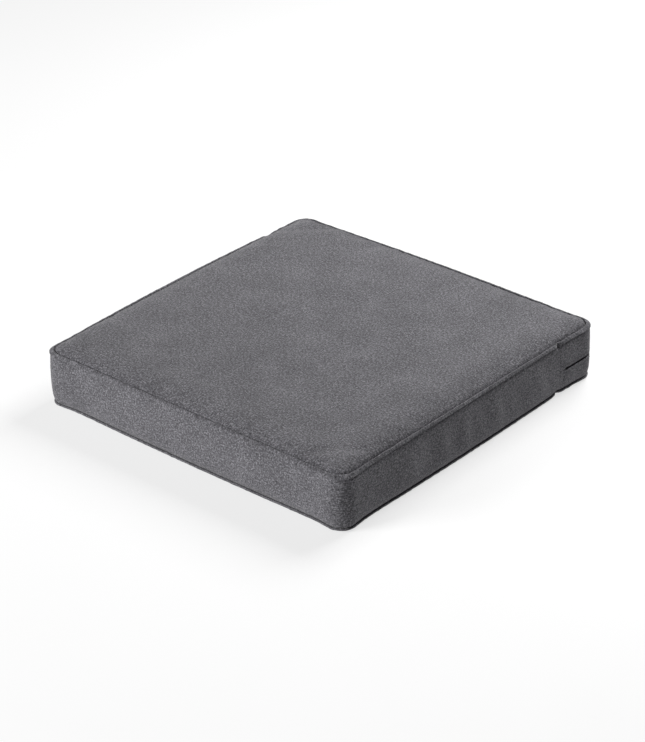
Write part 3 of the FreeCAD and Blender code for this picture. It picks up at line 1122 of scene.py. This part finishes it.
def makePiping(side, turn, seed):
    net = Net()
    sweep(net, pipingStations(piping["step"]), lambda s: turn(pipingPath(s, seed)), cloth, bias=True)
    addPiece(side + "_piping_cloth", net, "cover", "cover_fabric", side + "_piping_cover")
    net = Net()
    n, z = turn([onEdge(pipingOut, -seamAngle)])[0]
    lay = 2 * piping["strandRadius"] / math.sqrt(3)
    for k in range(piping["strands"]):
        path = []
        for s, point, out, inset in pipingStations(piping["strandStep"]):
            t = 2 * math.pi * (s / piping["strandLay"] + k / piping["strands"])
            path.append(Vector((*(point + out * (n - inset + lay * math.cos(t))), z + lay * math.sin(t))))
        tube(net, path, [piping["strandRadius"]] * len(path), 6)
    addPiece(side + "_piping_filler", net, "cord", "piping_cord", side + "_piping_cord")


makePiping("top", upsideDown, 1.7)
makePiping("bottom", list, 6.1)
print("piping made")


# Sewing

sewing = {
    "pitch": 3.5 * mm,
    "stitch": 3.0 * mm,
    "bow": 0.16 * mm,  # how far a stitch's middle stands above its ends
    "unevenness": 0.06,  # share of a stitch's length
}


def alongWay(s, n, z):
    point, out = way.at(s)
    return Vector((*(point + out * n), z))


def stitches(net, placeAt, start, end, lift, sides=6):
    # a row of separate stitches whose ends go down into the cloth; placeAt(s, up) gives a raised point
    count = round((end - start) / sewing["pitch"])
    pitch = (end - start) / count
    radius = cut["threadRadius"]
    for i in range(count):
        middle = start + (i + 0.5) * pitch
        length = sewing["stitch"] * (1 + sewing["unevenness"] * (random.random() - 0.5))
        path, radii = [], []
        for share in (-0.5, -0.42, -0.22, 0, 0.22, 0.42, 0.5):
            low = abs(2 * share) ** 4
            up = lift + sewing["bow"] * (1 - low) - 2 * radius * low
            path.append(placeAt(middle + share * length, up))
            radii.append(radius * (1 - 0.25 * low))
        tube(net, path, radii, sides)


def makeSeamThreads(side, turn):
    net = Net()
    across = 2 * cloth + cut["threadRadius"]
    reach = edge - cut["allowance"] / 2
    for face in (-1, 1):
        def at(s, up):
            n, z = turn([atSeam(reach, face * (across + up))])[0]
            return alongWay(s, n, z)
        stitches(net, at, 0.0, way.length, 0.0, 4)
    addPiece(side + "_seam_stitches", net, "thread", "sewing_thread", side + "_seam_thread")


makeSeamThreads("top", upsideDown)
makeSeamThreads("bottom", list)


def makeUprightStitches():
    net = Net()
    low, high = edge + cloth, height - edge - cloth
    for seam in (rightSeam, leftSeam):
        stitches(net, lambda z, up: alongWay(seam, up - 0.7 * cloth, z), low, high, 0.0)
    addPiece("upright_seam_stitches", net, "thread", "sewing_thread", "upright_seam_threads")


makeUprightStitches()


def makeTopstitch(level, side):
    net = Net()
    z = zipZ + side * zipPlace["stitchHeight"]
    stitches(net, lambda s, up: alongWay(s, up, z), rightSeam + 2 * mm, leftSeam - 2 * mm, 0.0, 8)
    addPiece(level + "_topstitch", net, "thread", "sewing_thread", "zip_topstitch_" + level)


makeTopstitch("upper", 1)
makeTopstitch("lower", -1)


tack = {
    "height": 6.6 * mm,
    "width": 2.2 * mm,
    "strands": 9,
    "threadRadius": 0.2 * mm,
    "straight": (0.6 * mm, 1.6 * mm),  # where across its width the two straight stitches lie
    "straightLift": 0.12 * mm,
    "straightSink": 0.8 * mm,  # how far their ends go down
    "turnLift": 0.42 * mm,
    "crossLift": 0.5 * mm,
}


def makeBartacks():
    # a dense zigzag over two straight stitches, across the lips at each end of the slot
    net = Net()
    for end, side in ((rightSlot, -1), (leftSlot, 1)):
        def at(across, up, lift):
            return alongWay(end + side * across, lift, zipZ + up)
        for across in tack["straight"]:
            path = []
            for u in (-0.5, -0.46, -0.25, 0, 0.25, 0.46, 0.5):
                lift = tack["straightLift"] - tack["straightSink"] * (abs(u) > 0.49)
                path.append(at(across, tack["height"] * u, lift))
            tube(net, path, [tack["threadRadius"]] * len(path), 6)
        path = []
        count = 2 * tack["strands"]
        for i in range(count + 1):
            up = tack["height"] * (i / count - 0.5)
            across = tack["width"] * (i % 2)
            inward = across + (0.25 - 0.5 * (i % 2)) * tack["width"]
            path += [at(across, up, 0.0), at(inward, up, tack["turnLift"])]
            if i < count:
                path.append(at(tack["width"] / 2, up + tack["height"] / count / 2, tack["crossLift"]))
        tube(net, path, [tack["threadRadius"]] * len(path), 6)
    addPiece("slot_bartacks", net, "thread", "sewing_thread", "zip_bartacks")


makeBartacks()
print("stitches made")


# Zip

zipMake = {
    "tapeThickness": 0.5 * mm,
    "tapePath": [(1.2, -5.70), (2.6, -5.70), (4.2, -5.70), (5.65, -5.70), (6.25, -3.80), (6.85, -1.90),
                 (8.5, -1.90), (10.5, -1.90), (12.85, -1.90)],  # mm: above the middle, and depth
    "coilPitch": 1.5 * mm,
    "wireRadius": 0.36 * mm,
    "coilTop": -3.15 * mm,
    "coilBottom": -5.42 * mm,
    "coilHead": -0.22 * mm,  # each half's heads reach past the middle, between the other's
    "coilBack": 3.0 * mm,
    "dividerLength": 5 * mm,  # the slider's wedge, which parts the two halves
    "dividerHalf": 1.2 * mm,
    "noseToWedge": 3.2 * mm,
}


def makeTape(level, side):
    net = Net()
    path = [(n * mm, zipZ + side * w * mm) for w, n in zipMake["tapePath"]]
    stations = stationsBetween(*zipCloth, coverMake["step"])
    sweep(net, stations, lambda s: path, zipMake["tapeThickness"])
    addPiece(level + "_zip_tape", net, "tape", "zip_tape", "zip_tape_" + level)


makeTape("upper", 1)
makeTape("lower", -1)


def makeCoil(level, side):
    # one long turn after another: the head at the middle, two legs going back, a loop behind them
    z = zipMake
    net = Net()
    start, end = rightSeam + 1.5 * mm, leftSeam - 1.5 * mm
    count = round((end - start) / z["coilPitch"])
    r = z["wireRadius"]
    wedge = way.side - sliderLow.x - z["noseToWedge"]
    path, radii = [], []
    for i in range(count):
        base = start + (i + (0.5 if side > 0 else 0.0)) * z["coilPitch"]
        parted = max(0.0, 1 - ((base - wedge) / (z["dividerLength"] / 2)) ** 2) * z["dividerHalf"]
        head = z["coilHead"] + parted + r
        top, bottom = z["coilTop"] - r, z["coilBottom"] + r
        middle = (top + bottom) / 2
        back = z["coilBack"] - r
        nearHead, leg, nearBack = head + 0.35 * mm, (head + back) / 2, back - 0.35 * mm
        # share of the pitch, distance from the zip's middle, depth, share of the wire's radius
        turn = [
            (0.00, head, middle, 1.15),
            (0.06, nearHead, top, 1.1),
            (0.12, leg, top, 1.0),
            (0.20, nearBack, top, 1.0),
            (0.45, back, middle, 0.95),
            (0.62, nearBack, bottom, 1.0),
            (0.80, leg, bottom, 1.0),
            (0.94, nearHead, bottom, 1.1),
        ]
        for share, w, n, size in turn:
            path.append(alongWay(base + share * z["coilPitch"], n, zipZ + side * w))
            radii.append(r * size)
    tube(net, path, radii, 7)
    addPiece(level + "_zip_coil", net, "coil", "zip_coil", "zip_coil_" + level)


makeCoil("upper", 1)
makeCoil("lower", -1)


endStop = {"turns": 5, "threadRadius": 0.27 * mm, "lift": 0.3 * mm, "sink": 1.2 * mm, "slant": 0.12 * mm}


def makeEndStop(e):
    # thread wound over the coil beside the slider's nose
    net = Net()
    low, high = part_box("zip_closed_end_stop")
    reach = (high.z - low.z) / 2
    for k in range(e["turns"]):
        x = low.x + (k + 0.5) * (high.x - low.x) / e["turns"]
        path = []
        for u in (-1.0, -0.97, -0.7, -0.3, 0.0, 0.3, 0.7, 0.97, 1.0):
            lift = (1 - abs(u) ** 6) * e["lift"] - e["sink"] * (abs(u) > 0.99)
            path.append(Vector((x + e["slant"] * u * (-1) ** k, low.y + lift, zipZ + u * reach)))
        tube(net, path, [e["threadRadius"]] * len(path), 6)
    addPiece("closed_end_stop", net, "thread", "sewing_thread", "zip_closed_end_stop")


makeEndStop(endStop)

for name in ("zip_slider", "zip_puller"):
    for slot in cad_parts[name].material_slots:
        slot.material = paints["metal"]
print("zip made")


# Filling

filling = {
    "foamInset": 11.1 * mm,
    "foamLow": 9.4 * mm,
    "foamRound": 12 * mm,
    "foamRings": 40,
    "waddingInset": 2.8 * mm,
    "waddingLow": 1.1 * mm,
    "waddingThick": 8 * mm,
    "waddingRound": 20 * mm,
    "waddingRings": 44,
    "lumps": 0.5 * mm,
    "lumpSize": 11 * mm,
}


def makeFoam():
    f = filling
    net = Net()
    r = f["foamRound"]
    low = bend((-r, f["foamLow"] + r), r, -math.pi / 2, 0, 6)
    wall = upright(0.0, low[-1][1], height - low[-1][1], 5 * mm)
    outline = Outline(half - f["foamInset"], cut["cornerRadius"])
    lump(net, outline, f["foamRings"], low + wall[1:-1] + upsideDown(low)[::-1])
    addPiece("foam_block", net, "foam", "foam", "foam_core")


def makeWadding(name, place, middle, turn):
    f = filling
    net = Net()
    t, r = f["waddingThick"], f["waddingRound"] - f["waddingThick"] / 2
    corner = bend((-t / 2 - r, f["waddingLow"] + t / 2 + r), r, -math.pi / 2, 0, 7)
    path = corner + upright(-t / 2, corner[-1][1], middle - zipPlace["tapeEdge"], 4 * mm)[1:]
    outline = Outline(half - f["waddingInset"], cut["cornerRadius"])
    pan(net, outline, f["waddingRings"], turn(path), t)
    for i, p in enumerate(net.points):
        share = 1 - f["lumps"] * (0.5 + noise.noise(Vector(p) / f["lumpSize"])) / half
        net.points[i] = (p[0] * share, p[1] * share, p[2])
    addPiece(name, net, "wadding", "wadding", place)


makeFoam()
makeWadding("top_wadding", "wadding_top", height - zipZ, upsideDown)
makeWadding("bottom_wadding", "wadding_bottom", zipZ, list)
print("filling made")


# Studio

studio = {
    "floorSize": 20.0,
    "worldStrength": 0.09,
    # place, aimed at the cushion; width; watts
    "key": ((-2.3, -4.3, 1.8), 2.2, 345),
    "back": ((0.14, 1.50, 1.5), 1.2, 58),
}


def makeStudio():
    bpy.ops.mesh.primitive_plane_add(size=studio["floorSize"], location=(0, 0, -0.1 * mm))
    floor = bpy.context.object
    floor.name = "studio_floor"
    floor.data.materials.append(paints["floor"])
    for name in ("key", "back"):
        place, width, watts = studio[name]
        data = bpy.data.lights.new(name, "AREA")
        data.size = width
        data.energy = watts
        lamp = addObject(name, data)
        lamp.location = place
        lamp.rotation_euler = (-Vector(place)).to_track_quat("-Z", "Y").to_euler()
    world = bpy.data.worlds.new("studio")
    world.use_nodes = True
    background = world.node_tree.nodes["Background"]
    background.inputs["Color"].default_value = (1, 1, 1, 1)
    background.inputs["Strength"].default_value = studio["worldStrength"]
    bpy.context.scene.world = world
    bpy.context.scene.view_settings.view_transform = "Standard"


makeStudio()
print("studio made")
